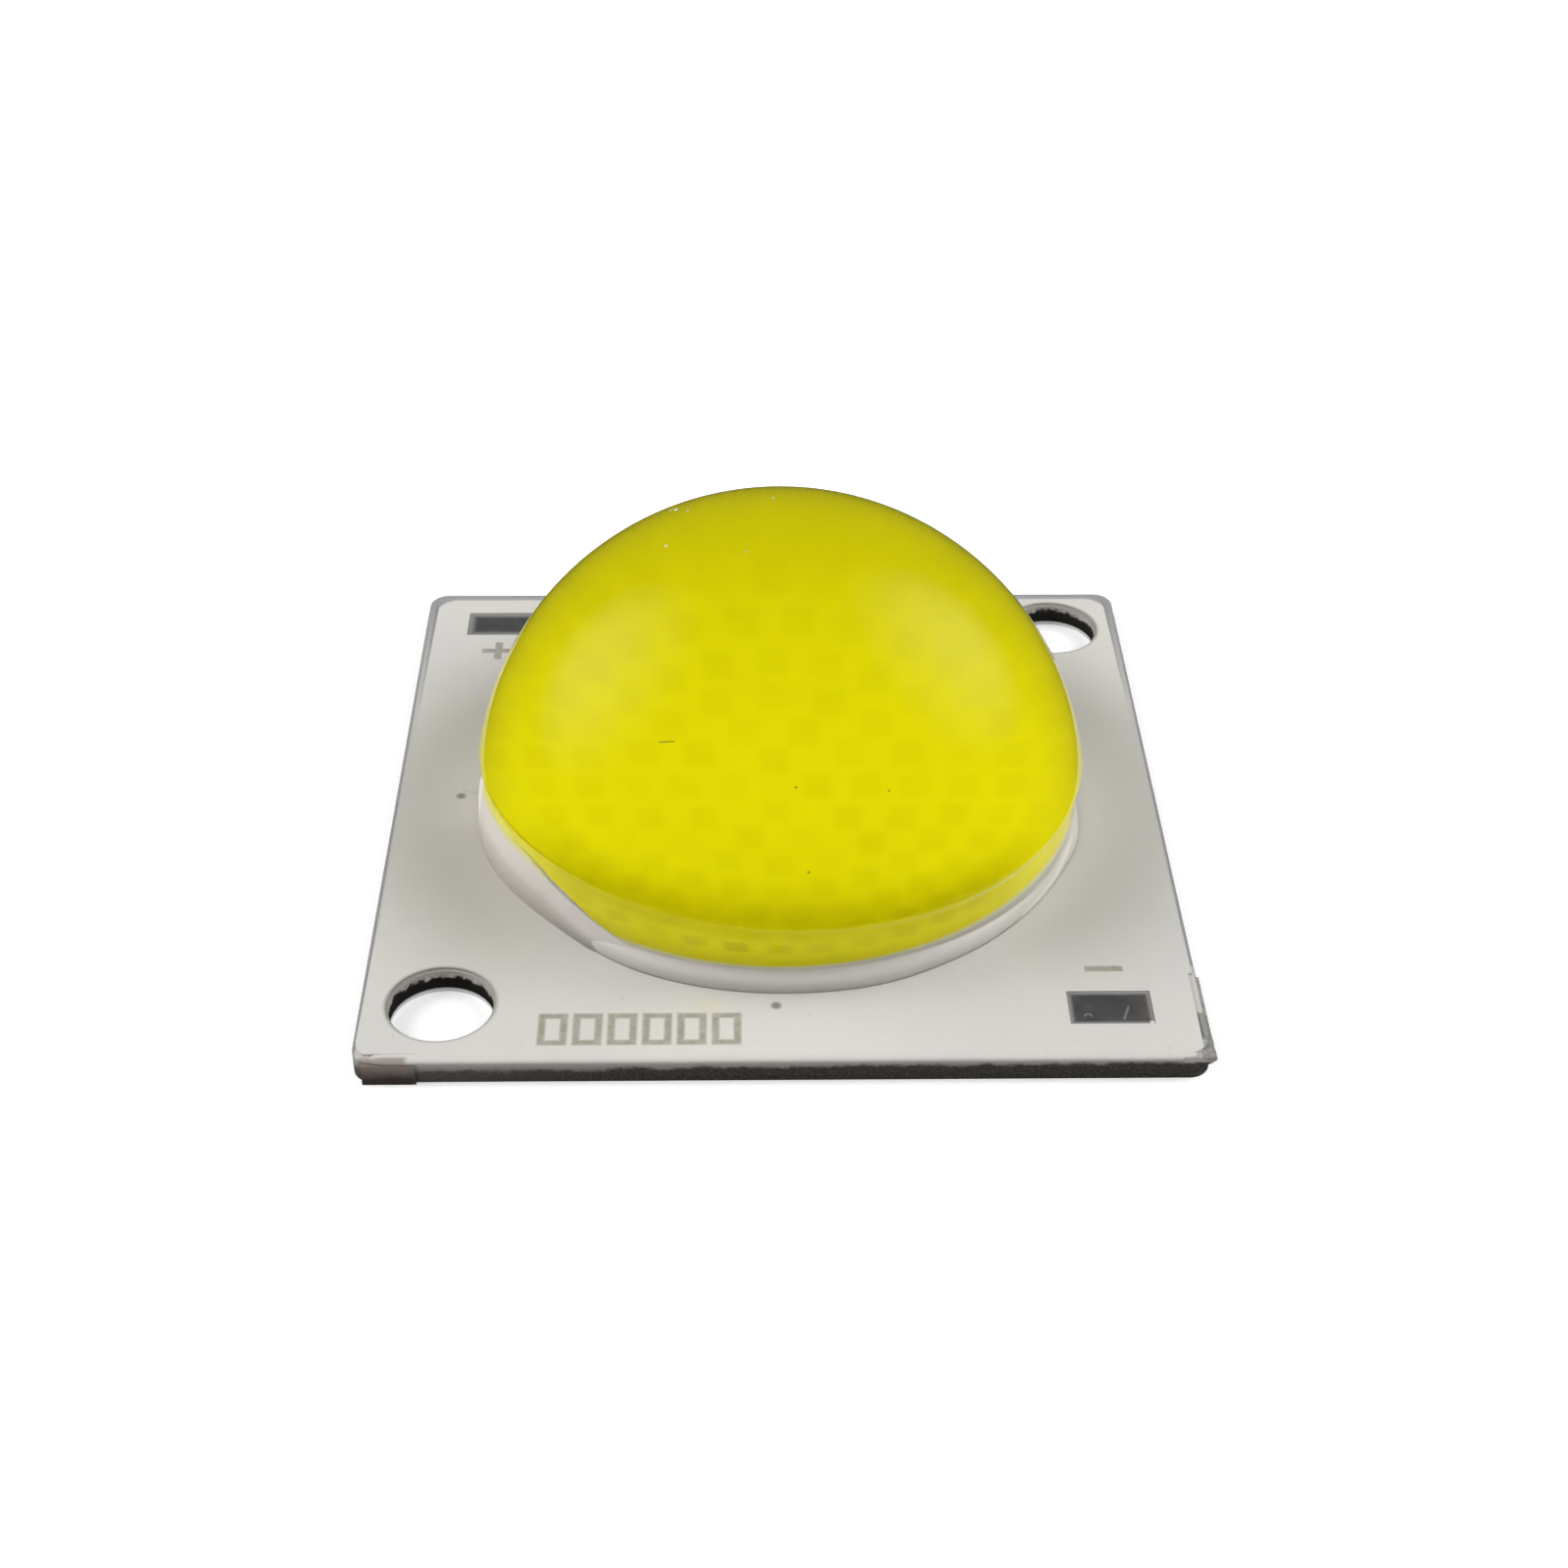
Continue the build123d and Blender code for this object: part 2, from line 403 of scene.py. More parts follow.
ink = tree.maths("MAXIMUM", ink, stroke * in_row)
patchy = 0.75 + 0.25 * tree.ramp(tree.noise(place, 0.35, detail=2.0), 0.3, 0.6)
coat = tree.mix(coat, color(0.34, 0.315, 0.26), tree.maths("MINIMUM", ink * patchy, 1.0))
# Painted light: a faint pool of yellow light on the coat in front of the dome.
yellow_glow = 1 - tree.smooth(apart(x + 2.45, y + 11.45), 0.1, 0.75)
coat = tree.mix(coat, color(0.70, 0.66, 0.48), 0.5 * yellow_glow)
slanted_y = y + 0.5 * (x + 11.3)
hairline = 1 - tree.smooth(off_bar(tree, x, slanted_y, -11.28, 0.35, 0.30, 0.01), 0.0, 0.05)
coat = tree.mix(coat, color(0.36, 0.34, 0.29), 0.6 * hairline)

# %% Margins and scorch of the coat
# Painted shade: along the back edge the coat is painted grey in a strip wider than the bare one the
# solids leave.
corner_x = tree.maths("MAXIMUM", abs(x) - 12.80, 0.0)
corner_y = tree.maths("MAXIMUM", y - 12.62, 0.0)
back_margin_shade = tree.smooth(apart(corner_x, corner_y), 0.77, 0.85) * tree.smooth(y, 12.6, 13.2)
bare_corner = tree.smooth(x, 13.66, 13.76) * (1 - tree.smooth(y, -13.20, -13.05))
bare = tree.maths("MAXIMUM", back_margin_shade, bare_corner)
coat = tree.mix(coat, color(0.36, 0.365, 0.36), bare)
burnt_x = x + 0.2 * (tree.noise(place, 0.3) - 0.5)
burn = within(tree, burnt_x, -14.20, -12.18, 0.25) * tree.smooth(-1 * y, 13.82, 13.96)
coat = tree.mix(coat, color(0.34, 0.30, 0.28), burn)
peel = tree.noise(place, 0.16, detail=3.0)
surface(tree, {
    "Base Color": coat,
    "Roughness": 0.36 + 0.14 * peel,
    "Normal": bump(tree, peel, 0.006),
})

# %% [markdown]
# ### The insulating layer
# It shows as a grey line round the coat. It is filled resin, so it has a fine speckle. At the front
# the coat has run over it, and where the board was broken out of its panel, it is scorched brown.

# %% Insulating layer
tree, place = finish("insulating_layer")
x, y, z = tree.parts(place)
speckle = tree.noise(place, 0.09, detail=3.0)
resin = tree.mix(color(0.27, 0.275, 0.28), color(0.36, 0.365, 0.365), tree.ramp(speckle, 0.3, 0.7))
run_over_front = tree.smooth(-1 * y, 13.65, 13.75)
run_over_side = within(tree, x, 13.57, 13.95, 0.05) * within(tree, y, -11.84, -9.50, 0.10)
run_over = tree.maths("MAXIMUM", run_over_front, run_over_side)
beside = within(tree, abs(x), 13.50, 13.88, 0.06) * (1 - tree.ramp(y, 6.0, 13.2))
run_over = tree.maths("MAXIMUM", run_over, beside * tree.smooth(z, 0.86, 0.90))
rolled_over = tree.mix(color(0.38, 0.365, 0.34), color(0.60, 0.58, 0.54), tree.ramp(z, 0.80, 0.90))
resin = tree.mix(resin, rolled_over, run_over)
for reach in to_holes(x, y):
    in_hole = 1 - tree.smooth(reach, hole_radius + 0.1, hole_radius + 0.2)
    resin = tree.mix(resin, color(0.44, 0.42, 0.38), in_hole)
bare_strip = tree.smooth(x, 13.66, 13.70) * (1 - tree.smooth(y, -11.90, -11.80))
bare_resin = tree.mix(color(0.25, 0.24, 0.225), color(0.36, 0.35, 0.33), speckle)
resin = tree.mix(resin, bare_resin, bare_strip)
crack = within(tree, x + 0.03 * (y + 12), 13.66, 13.78, 0.08) * within(tree, y, -14.20, -11.80, 0.10)
resin = tree.mix(resin, color(0.10, 0.095, 0.09), 0.85 * crack)
scorched_x = x + 0.2 * (speckle - 0.5)
scorch = within(tree, scorched_x, -14.20, -12.05, 0.30) * tree.smooth(-1 * y, 13.70, 13.90)
brown = tree.mix(color(0.34, 0.30, 0.28), color(0.25, 0.21, 0.19), tree.smooth(-1 * y, 13.85, 14.12))
resin = tree.mix(resin, brown, scorch)
surface(tree, {
    "Base Color": resin,
    "Roughness": 0.42 + 0.2 * speckle,
    "Normal": bump(tree, speckle, 0.01),
})

# %% [markdown]
# ### The punched plate
# A punch leaves two bands on an edge: a smooth one where the metal was sheared, and a rough one
# below it, where it tore. The line between them is ragged. Both bands are also painted darker
# towards the bottom, as shade, which makes the torn one nearly black on the edges and in the hole
# walls. Height alone tells which band a point is in, once noise has shifted it, so one finish
# serves the edges and the hole walls.

# %% Punched aluminium
tree, place = finish("plate_aluminium")
x, y, z = tree.parts(place)
ragged = tree.noise(place, 0.8, detail=4.0, roughness=0.6)
tear = z + 0.5 * (ragged - 0.5) - 0.009 * x
crumbs = tree.noise(place, 0.10, detail=3.0)
# Painted shade: both bands are painted darker towards the bottom, the torn one nearly black.
sheared = tree.mix(color(0.22, 0.21, 0.195), color(0.44, 0.425, 0.395), tree.ramp(z, 0.50, 0.85))
torn = tree.mix(color(0.020, 0.018, 0.015), color(0.090, 0.082, 0.070), tree.ramp(crumbs, 0.3, 0.75))
torn = tree.mix(torn, color(0.10, 0.095, 0.085), 0.6 * tree.smooth(-1 * x, 5.0, 12.0))
edge = tree.mix(torn, sheared, tree.smooth(tear, 0.48, 0.68))
corner_strip = tree.smooth(x, 13.55, 13.70) * (1 - tree.smooth(y, -11.90, -11.80))
corner_strip = corner_strip * tree.smooth(z, 0.70, 0.79)
corner_grey = tree.mix(color(0.20, 0.19, 0.175), color(0.38, 0.37, 0.35), tree.ramp(crumbs, 0.3, 0.7))
edge = tree.mix(edge, corner_grey, corner_strip)
chipped = z + 0.9 * (tree.noise(place, 0.55, detail=5.0, roughness=0.65) - 0.5)
light_band = tree.mix(color(0.30, 0.275, 0.25), color(0.56, 0.54, 0.50), tree.ramp(crumbs, 0.35, 0.6))
# Painted shade: the hole wall is painted nearly black below its ragged line.
wall = tree.mix(color(0.012, 0.010, 0.008), light_band, tree.smooth(chipped, 0.56, 0.74))
wall = tree.mix(color(0.80, 0.80, 0.80), wall, tree.smooth(z, 0.10, 0.20))
for reach in to_holes(x, y):
    in_hole = 1 - tree.smooth(reach, hole_radius + 0.1, hole_radius + 0.2)
    edge = tree.mix(edge, wall, in_hole)
scorched_x = x + 0.3 * (ragged - 0.5)
scorch = within(tree, scorched_x, -13.80, -12.00, 0.30) * tree.smooth(-1 * y, 13.70, 13.90)
burnt = tree.mix(color(0.045, 0.035, 0.03), color(0.21, 0.17, 0.15), tree.ramp(tear, 0.30, 0.85))
stub_end = within(tree, x, -12.20, -11.80, 0.10) * tree.smooth(-1 * y, 13.99, 14.02)
edge = tree.mix(edge, color(0.05, 0.045, 0.04), 0.6 * stub_end)
edge = tree.mix(edge, burnt, scorch)
rolled = tree.noise(tree.vector(x * 0.03, y, z), 0.08, detail=3.0)
under = tree.mix(color(0.50, 0.51, 0.52), color(0.62, 0.63, 0.64), rolled)
is_edge = tree.ramp(z, 0.002, 0.006)
surface(tree, {
    "Base Color": tree.mix(under, edge, is_edge),
    "Metallic": 1 - 0.9 * is_edge,
    "Roughness": 0.34 + 0.4 * is_edge,
    "Normal": bump(tree, crumbs * is_edge + rolled * (1 - is_edge), 0.02),
})

# %% [markdown]
# ### Tinned copper, dies and bond wires
# The tin in the two windows has gone dull and grey. The dies and wires lie inside the phosphor,
# where no light shows them, but a part that is taken apart has them, so they have a finish too.

# %% Metals and dies
pad_x, pad_y, pad_half_x, pad_half_y = 10.90, 11.66, 1.38, 0.79
tree, place = finish("copper")
x, y, _ = tree.parts(place)
smudge = tree.noise(place, 0.6, detail=4.0)
tin = tree.mix(color(0.070, 0.071, 0.073), color(0.105, 0.105, 0.105), tree.ramp(smudge, 0.35, 0.7))
from_rim_x = pad_half_x - abs(abs(x) - pad_x)
from_rim_y = pad_half_y - abs(abs(y) - pad_y)
from_rim = tree.maths("MINIMUM", from_rim_x, from_rim_y)
is_back = tree.smooth(y, -1.0, 1.0)
# Painted light: a paler grey rim round each pad, wider at the back, stands for the light on the
# coat's window edge.
window_edge_light = 1 - tree.smooth(from_rim, 0.0, 0.20 + 0.18 * is_back)
tin = tree.mix(tin, color(0.13, 0.105, 0.085), 0.6 * tree.smooth(x, 11.6, 12.3))
tin = tree.mix(tin, color(0.40, 0.395, 0.38), 0.9 * window_edge_light)
loop = 1 - tree.smooth(abs(apart(x - 10.12, y + 12.06) - 0.11), 0.015, 0.06)
streak_x = x - 11.40 - 0.35 * (y + 11.90)
streak = 1 - tree.smooth(off_bar(tree, streak_x, y, 0.0, -11.90, 0.01, 0.30), 0.0, 0.06)
scratch = tree.maths("MAXIMUM", loop * tree.smooth(y, -12.15, -12.0), streak)
tin = tree.mix(tin, color(0.40, 0.40, 0.40), 0.45 * scratch)
speck = 1 - tree.smooth(apart(x - 12.22, y + 12.38), 0.07, 0.12)
tin = tree.mix(tin, color(0.85, 0.83, 0.80), speck)
surface(tree, {
    "Base Color": tin,
    "Metallic": 0.3,
    "Roughness": 0.40 + 0.25 * smudge,
    "Normal": bump(tree, smudge, 0.02),
})

tree, place = finish("die")
facets = tree.noise(place, 0.2)
surface(tree, {
    "Base Color": tree.mix(color(0.16, 0.20, 0.26), color(0.30, 0.36, 0.42), facets),
    "Roughness": 0.15 + 0.1 * facets,
})

tree, place = finish("bond_wire")
drawn = tree.noise(place, 0.05)
surface(tree, {
    "Base Color": tree.mix(color(0.80, 0.60, 0.28), color(0.90, 0.72, 0.40), drawn),
    "Metallic": 1.0,
    "Roughness": 0.25 + 0.1 * drawn,
})

# %% [markdown]
# ### The phosphor
# The silicone is full of yellow powder. Each die under it shows as a faint darker spot, long side
# front to back. The dies stand on rings, so one sum finds the nearest die of any point: the ring
# from its distance to the centre, then the place along the ring from its angle.

# %% Phosphor over the dies
first_ring, ring_pitch, last_ring = 1.10, 1.28, 5.0
die_width, die_length = 0.50, 0.75
tree, place = finish("phosphor_silicone")
x, y, _ = tree.parts(place)
reach = apart(x, y)
ring = tree.maths("ROUND", tree.maths("MAXIMUM", (reach - first_ring) / ring_pitch, 0.0))
ring = tree.maths("MINIMUM", ring, last_ring)
ring_radius = first_ring + ring_pitch * ring
dies_on_ring = 2 * tree.maths("FLOOR", math.pi * ring_radius / ring_pitch)
steps = tree.maths("ARCTAN2", y, x) / math.tau * dies_on_ring
turn = tree.maths("ROUND", steps) / dies_on_ring * math.tau
die_x = ring_radius * tree.maths("COSINE", turn)
die_y = ring_radius * tree.maths("SINE", turn)
off_die = off_bar(tree, x, y, die_x, die_y, die_width / 2, die_length / 2)
spot = 1 - tree.smooth(off_die, -0.08, 0.30)
depth = tree.noise(tree.vector(die_x, die_y, 0.0), 0.7)
in_last_ring = tree.ramp(ring, last_ring - 1, last_ring)
spot = spot * 0.27 * tree.ramp(depth, 0.25, 0.75)
spot = spot * (1 + in_last_ring * (2.2 * tree.smooth(-1 * y, 3.0, 8.0) - 0.5))
powder = tree.noise(place, 1.6, detail=3.0)
towards_dam = tree.smooth(reach, 3.0, 9.0)
yellow = tree.mix(color(0.845, 0.76, 0.002), color(0.99, 0.90, 0.003), towards_dam)
yellow = tree.mix(yellow, color(0.84, 0.75, 0.002), 0.5 * powder)
yellow = tree.mix(yellow, color(0.60, 0.53, 0.0), spot)
thin_rim = tree.smooth(reach, 9.25, 9.75)
yellow = tree.mix(yellow, color(0.88, 0.84, 0.45), 0.8 * thin_rim)
surface(tree, {
    "Base Color": yellow,
    "Roughness": 0.55 + 0.1 * powder,
    "Specular IOR Level": 0.0,
})

# %% [markdown]
# ### Silicone
# The dam is white silicone with a faint pink cast. Its front slope is painted darker as shade, its
# inner edge is painted yellow as the phosphor's light, and a thin painted highlight runs along its
# outer edge at the front right. At the left some of it was smeared up the lens's foot, and there
# its face is painted lighter towards the bottom, against its own shade.
# `smear_top` says how high, and both the finish and the shape ask it.

# %% Dam
least_smear, smear_climb = 0.40, 1.95


def smear_top(tree, cosine, sine):
    """How high the smeared silicone stands on the lens's foot, in mm above the coat."""
    turn = tree.maths("ARCTAN2", sine, cosine) * (180 / math.pi)
    climb = tree.smooth(turn, -175.5, -166.5) * (1 - tree.smooth(turn, -146, -112))
    return least_smear + smear_climb * climb


tree, place = finish("dam_silicone")
x, y, z = tree.parts(place)
reach = apart(x, y)
lumps = tree.noise(place, 1.2, detail=2.0)
front = tree.smooth(-1 * y / reach, 0.45, 0.90)
right_side = tree.smooth(x / reach, 0.50, 0.85)
left_side = tree.smooth(-1 * x / reach, 0.45, 0.75)
white = tree.mix(color(0.80, 0.77, 0.735), color(0.75, 0.725, 0.695), lumps)
# Painted light: the smear's face at the left is painted lighter towards its foot, against its own
# shade.
lit_left_face = tree.mix(color(0.93, 0.88, 0.84), color(0.745, 0.69, 0.645), tree.smooth(z, 1.0, 2.1))
white = tree.mix(white, lit_left_face, left_side)
white = tree.mix(white, color(0.60, 0.575, 0.50), right_side)
# Painted shade: the dam's front slope is painted darker, most towards its foot.
front_slope_shade = tree.mix(color(0.50, 0.475, 0.45), color(0.625, 0.595, 0.56), tree.smooth(z, 1.10, 1.50))
white = tree.mix(white, front_slope_shade, 0.9 * front)
# Painted highlight: a thin pale line along the dam's outer edge at the front right.
turn = tree.maths("ARCTAN2", y, x) * (180 / math.pi)
rim_highlight = within(tree, turn, -40, -18, 6.0) * within(tree, reach, 10.94, 11.00, 0.05)
white = tree.mix(white, color(0.76, 0.725, 0.685), rim_highlight)
# Painted light: the dam's inner edge is painted yellow, as the phosphor's light in it.
painted_yellow_light = 1 - tree.smooth(reach, 9.95, 10.50)
white = tree.mix(white, color(0.97, 0.93, 0.48), 0.85 * painted_yellow_light)
top = smear_top(tree, x / reach, y / reach)
thinned = tree.smooth(z - coat_top / MM - top, -0.50, -0.02)
on_foot = tree.smooth(top, 1.9, 2.3) * tree.smooth(z, 1.75, 1.95)
white = tree.mix(white, color(0.72, 0.68, 0.16), thinned * on_foot)
surface(tree, {
    "Base Color": white,
    "Roughness": 0.32 + 0.1 * lumps,
    "Normal": bump(tree, lumps, 0.03),
})

# %% [markdown]
# The lens is clear, with an index of 1.41, that of soft silicone. The lip where its cap meets its
# foot isn't level: it stands a little higher at the front left, as `lip_lift` says, and both the
# finish and the shape ask it. Under the lip the front of the lens is tinted olive as painted
# shade, and at the left a thin dark line of painted shade runs along the lip.

# %% Lens
SILICONE_INDEX = 1.41
askew, lip_rise = math.radians(55), 0.45


def lip_lift(cosine, sine):
    """How much higher the lip is, in mm, than at its lowest side."""
    toward = cosine * math.cos(askew) + sine * math.sin(askew)
    return lip_rise * ((1 - toward) / 2) ** 4


tree, place = finish("lens_silicone")
x, y, z = tree.parts(place)
reach = apart(x, y)
cosine, sine = x / reach, y / reach
above = z - lip_height / MM - lip_lift(cosine, sine)
from_front = -1 * sine
# Painted shade: below the lip the front of the lens is tinted olive, fading out up the cap.
front_band_shade = (1 - tree.smooth(above, -0.10, 1.75)) * (1 - 0.60 * tree.smooth(-1 * above, 0.30, 1.20))
front_band_shade = front_band_shade * tree.smooth(from_front, 0.52, 0.80)
streaks = tree.noise(place, 0.9, detail=2.0)
glass = tree.mix(color(1.0, 1.0, 1.0), color(0.46, 0.445, 0.12), front_band_shade * (0.76 + 0.24 * streaks))
# Painted shade: a thin dark line along the lip at the left.
from_left = tree.smooth(-1 * cosine, 0.55, 0.80)
lip_line_shade = (1 - tree.smooth(abs(above + 0.02), 0.02, 0.09)) * from_left
glass = tree.mix(glass, color(0.42, 0.38, 0.20), 0.8 * lip_line_shade)
skin = tree.noise(place, 3.0, detail=1.0)
surface(tree, {
    "Base Color": glass,
    "Roughness": 0.0,
    "IOR": SILICONE_INDEX,
    "Specular Tint": color(0.38, 0.38, 0.20),
    "Transmission Weight": 1.0,
    "Normal": bump(tree, skin, 0.004),
})

# %% Dust
tree, place = finish("dust")
fluff = tree.noise(place, 0.03)
surface(tree, {
    "Base Color": tree.mix(color(0.70, 0.70, 0.62), color(0.85, 0.85, 0.80), fluff),
    "Roughness": 0.9,
})
tree, place = finish("hair")
fibre = tree.noise(place, 0.03)
surface(tree, {
    "Base Color": tree.mix(color(0.05, 0.04, 0.02), color(0.10, 0.08, 0.04), fibre),
    "Roughness": 0.6,
})

# %% [markdown]
# ## Shapes that follow a rule
# The lens and the dam are turned about one axis. A grid can be bent into any such shape: its X
# runs round the axis, and its Y runs along the section. `turned` does that with two sums, one for
# the radius and one for the height, so the unevenness of poured silicone is one more term.

# %% Geometry Nodes helpers
SEAM = 0.002 * MM


def shape_tree(name, sizes):
    """A Geometry Nodes tree with the names of the sizes for inputs, and those inputs as values."""
    nodes = bpy.data.node_groups.new(name, "GeometryNodeTree")
    nodes.interface.new_socket("Geometry", in_out="OUTPUT", socket_type="NodeSocketGeometry")
    for size in sizes:
        nodes.interface.new_socket(size, in_out="INPUT", socket_type="NodeSocketFloat")
    tree = Tree(nodes)
    entry = tree.node("NodeGroupInput").socket.node
    return tree, [Value(tree, entry.outputs[size]) for size in sizes]


def flat_grid(tree, around, along):
    """A grid of side 1 with so many cells each way, and the X and Y of its points."""
    counts = {"Size X": 1.0, "Size Y": 1.0, "Vertices X": around + 1, "Vertices Y": along + 1}
    grid = tree.node("GeometryNodeMeshGrid", None, counts)
    across, forth, _ = tree.parts(tree.node("GeometryNodeInputPosition"))
    return grid, across, forth


def moved(tree, geometry, x, y, z):
    """The geometry with each of its points in a new place."""
    sockets = {"Geometry": geometry, "Position": tree.vector(x, y, z)}
    return tree.node("GeometryNodeSetPosition", None, sockets)


def turned(tree, around, along, section):
    """A grid bent round the Z axis. The section gives radius and height at 0 to 1 along it."""
    grid, across, forth = flat_grid(tree, around, along)
    turn = across * math.tau
    cosine, sine = tree.maths("COSINE", turn), tree.maths("SINE", turn)
    reach, rise = section(forth + 0.5, cosine, sine)
    return moved(tree, grid, reach * cosine, reach * sine, rise)


def made_of(tree, parts, material):
    """Joins the parts, closes their seams and poles, and gives them a material."""
    joined = tree.node("GeometryNodeJoinGeometry", None, {"Geometry": parts})
    sockets = {"Geometry": joined, "Distance": SEAM}
    closed = tree.node("GeometryNodeMergeByDistance", None, sockets)
    real = tree.node("GeometryNodeRealizeInstances", None, {"Geometry": closed})
    faced = tree.node("GeometryNodeSetMaterial", None, {"Geometry": real, "Material": material})
    tree.node("NodeGroupOutput", None, {"Geometry": faced})


def grown(name, tree, sizes):
    """Runs a tree once and keeps what it made as a plain mesh, with its faces outwards."""
    piece = bpy.data.objects.new(name, bpy.data.meshes.new(name))
    bpy.context.scene.collection.objects.link(piece)
    modifier = piece.modifiers.new("shape", "NODES")
    modifier.node_group = tree.nodes
    for socket in tree.nodes.interface.items_tree:
        if socket.in_out == "INPUT":
            modifier[socket.identifier] = sizes[socket.name]
    depsgraph = bpy.context.evaluated_depsgraph_get()
    mesh = bpy.data.meshes.new_from_object(piece.evaluated_get(depsgraph))
    piece.modifiers.clear()
    piece.data = mesh
    solid = bmesh.new()
    solid.from_mesh(mesh)
    bmesh.ops.recalc_face_normals(solid, faces=solid.faces)
    solid.to_mesh(mesh)
    solid.free()
    mesh.shade_smooth()
    print(name, "has", len(mesh.polygons), "faces")
    return piece


# %% [markdown]
# ### The clear lens
# It is cast onto the phosphor, so no air lies between the two, and the eye sees the powder
# straight through the dome. In a path tracer a lens that stops exactly at the powder would leave
# such a gap, so its underside is sunk by a hair: a ray meets the powder first, still in silicone.
# Under the dome's lip the foot goes straight down, with a small fillet where the two meet, but at
# the front it leans in a little and stands back from the dam.

# %% Turn the lens
lens_sizes = {
    "Foot Radius": lens_foot_radius,
    "Front Step": front_step,
    "Lip Height": lip_height,
    "Lip Roll": 0.45 * MM,
    "Bottom": fill_top - 0.03 * MM,
    "Cap Radius": cap_radius,
    "Cap Center": cap_center,
}
tree, (foot, step, lip_z, roll, bottom, cap_r, cap_z) = shape_tree("lens shape", lens_sizes)


def lip_at(cosine, sine):
    """The lip's height there, and its angle from the cap's pole."""
    height = lip_z + MM * lip_lift(cosine, sine)
    return height, tree.maths("ARCCOSINE", (height - cap_z) / cap_r)


def foot_at(sine):
    """The foot's radius where it meets the phosphor. At the front it stands back from the dam."""
    return foot - step * tree.maths("MAXIMUM", -1 * sine, 0.0) ** 3


def underside(t, cosine, sine):
    return foot_at(sine) * t, bottom + 0.0 * t


def foot_wall(t, cosine, sine):
    height, _ = lip_at(cosine, sine)
    low = foot_at(sine)
    return low + (foot - low) * t, bottom + (height - roll - bottom) * t


def rolled_lip(t, cosine, sine):
    height, angle = lip_at(cosine, sine)
    ledge = cap_r * tree.maths("SINE", angle) - foot
    lean = 1 / tree.maths("TANGENT", angle)
    return foot + ledge * t**2 * (3 - 2 * t) - roll * lean * t**2 * (t - 1), height + roll * (t - 1)


def cap(t, cosine, sine):
    _, angle = lip_at(cosine, sine)
    return cap_r * tree.maths("SINE", angle * t), cap_z + cap_r * tree.maths("COSINE", angle * t)


sections = [(underside, 6), (foot_wall, 6), (rolled_lip, 16), (cap, 96)]
lens_bands = [turned(tree, 240, along, section) for section, along in sections]
made_of(tree, lens_bands, materials["lens_silicone"])
clear_lens = grown("clear_lens", tree, lens_sizes)
clear_lens.data.set_sharp_from_angle(angle=math.radians(40))
clear_lens.data.transform(Matrix.Translation((lens_x, 0, 0)))
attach(clear_lens, "root")
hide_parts("dome_lens")

# %% [markdown]
# ### The dam
# A needle lays the dam as one bead, so its crown is round, its walls are nearly upright and its
# height and width wander a little. A squared-off ellipse is that section in one formula. Each
# bulge has an angle, a tightness and a size. The smear is a second ring inside the bead, and it
# only comes out of the bead where `smear_top` climbs.

# %% Lay the dam
dam_sizes = {
    "Middle Radius": (fill_radius + dam_radius) / 2,
    "Half Width": (dam_radius - fill_radius) / 2,
    "Bottom": coat_top,
    "Rise": (dam_crest - coat_top) * 0.97,
}
tree, (middle, half_width, bottom, rise) = shape_tree("dam shape", dam_sizes)
square_across, square_up = 0.65, 0.75
bulges = [
    (176, 200, 0.08), (196, 80, 0.05), (223, 30, -0.26), (288, 60, 0.10),
    (309, 80, 0.06), (325, 80, 0.06), (345, 60, 0.22),
]


def bulging(cosine, sine):
    """How far the dam's outside stands out there."""
    total = 0.0
    for azimuth, tightness, size in bulges:
        turn = math.radians(azimuth)
        toward = tree.maths("MAXIMUM", cosine * math.cos(turn) + sine * math.sin(turn), 0.0)
        total = size * MM * toward**tightness + total
    return total


def bead(t, cosine, sine):
    """Half of a squared-off ellipse, with the bulges on its outside."""
    side = tree.maths("COSINE", t * math.pi)
    outline = tree.maths("SIGN", side) * abs(side) ** square_across
    wander = tree.noise(tree.vector(cosine, sine, 0.0), 0.35) - 0.5
    reach = middle + half_width * outline * (1 + 0.06 * wander)
    reach = reach + bulging(cosine, sine) * tree.ramp(side, 0.0, 1.0)
    height = rise * tree.maths("SINE", t * math.pi) ** square_up * (1 + 0.10 * wander)
    return reach, bottom + height


def smear(t, cosine, sine):
    """A ring within the bead. Where it climbs, its face slants from the bead's rim to the foot."""
    side = tree.maths("COSINE", t * math.pi)
    outward = 0.5 + 0.5 * tree.maths("SIGN", side) * abs(side) ** 0.5
    upward = tree.maths("SINE", t * math.pi) ** 0.30
    top = smear_top(tree, cosine, sine)
    climb = tree.smooth(top, 0.50, 1.30)
    ragged = tree.noise(tree.vector(cosine, sine, 0.0), 0.08) - 0.5
    narrowing = front_step / MM * tree.maths("MAXIMUM", -1 * sine, 0.0) ** 3
    inner = lens_foot_radius - 0.06 * MM + lens_x * cosine - MM * narrowing
    rim = middle + half_width + 0.04 * MM + bulging(cosine, sine)
    outer = rim + (inner + 0.16 * MM - rim) * upward
    hidden = middle + MM * (0.02 + 0.26 * outward)
    reach = hidden + (inner + (outer - inner) * outward - hidden) * climb
    height = MM * (top + 0.35 * ragged * climb) * upward
    return reach, bottom + height


def under(section):
    """The flat strip that closes a section from below."""
    def strip(t, cosine, sine):
        reach, height = section(tree.maths("ROUND", 1 - t), cosine, sine)
        return reach, bottom + 0.0 * t
    return strip


dam_bands = [turned(tree, 360, 28, bead), turned(tree, 360, 1, under(bead))]
dam_bands += [turned(tree, 360, 20, smear), turned(tree, 360, 1, under(smear))]
made_of(tree, dam_bands, materials["dam_silicone"])
dam_bead = grown("dam_bead", tree, dam_sizes)
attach(dam_bead, "root")
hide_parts("dam_ring")

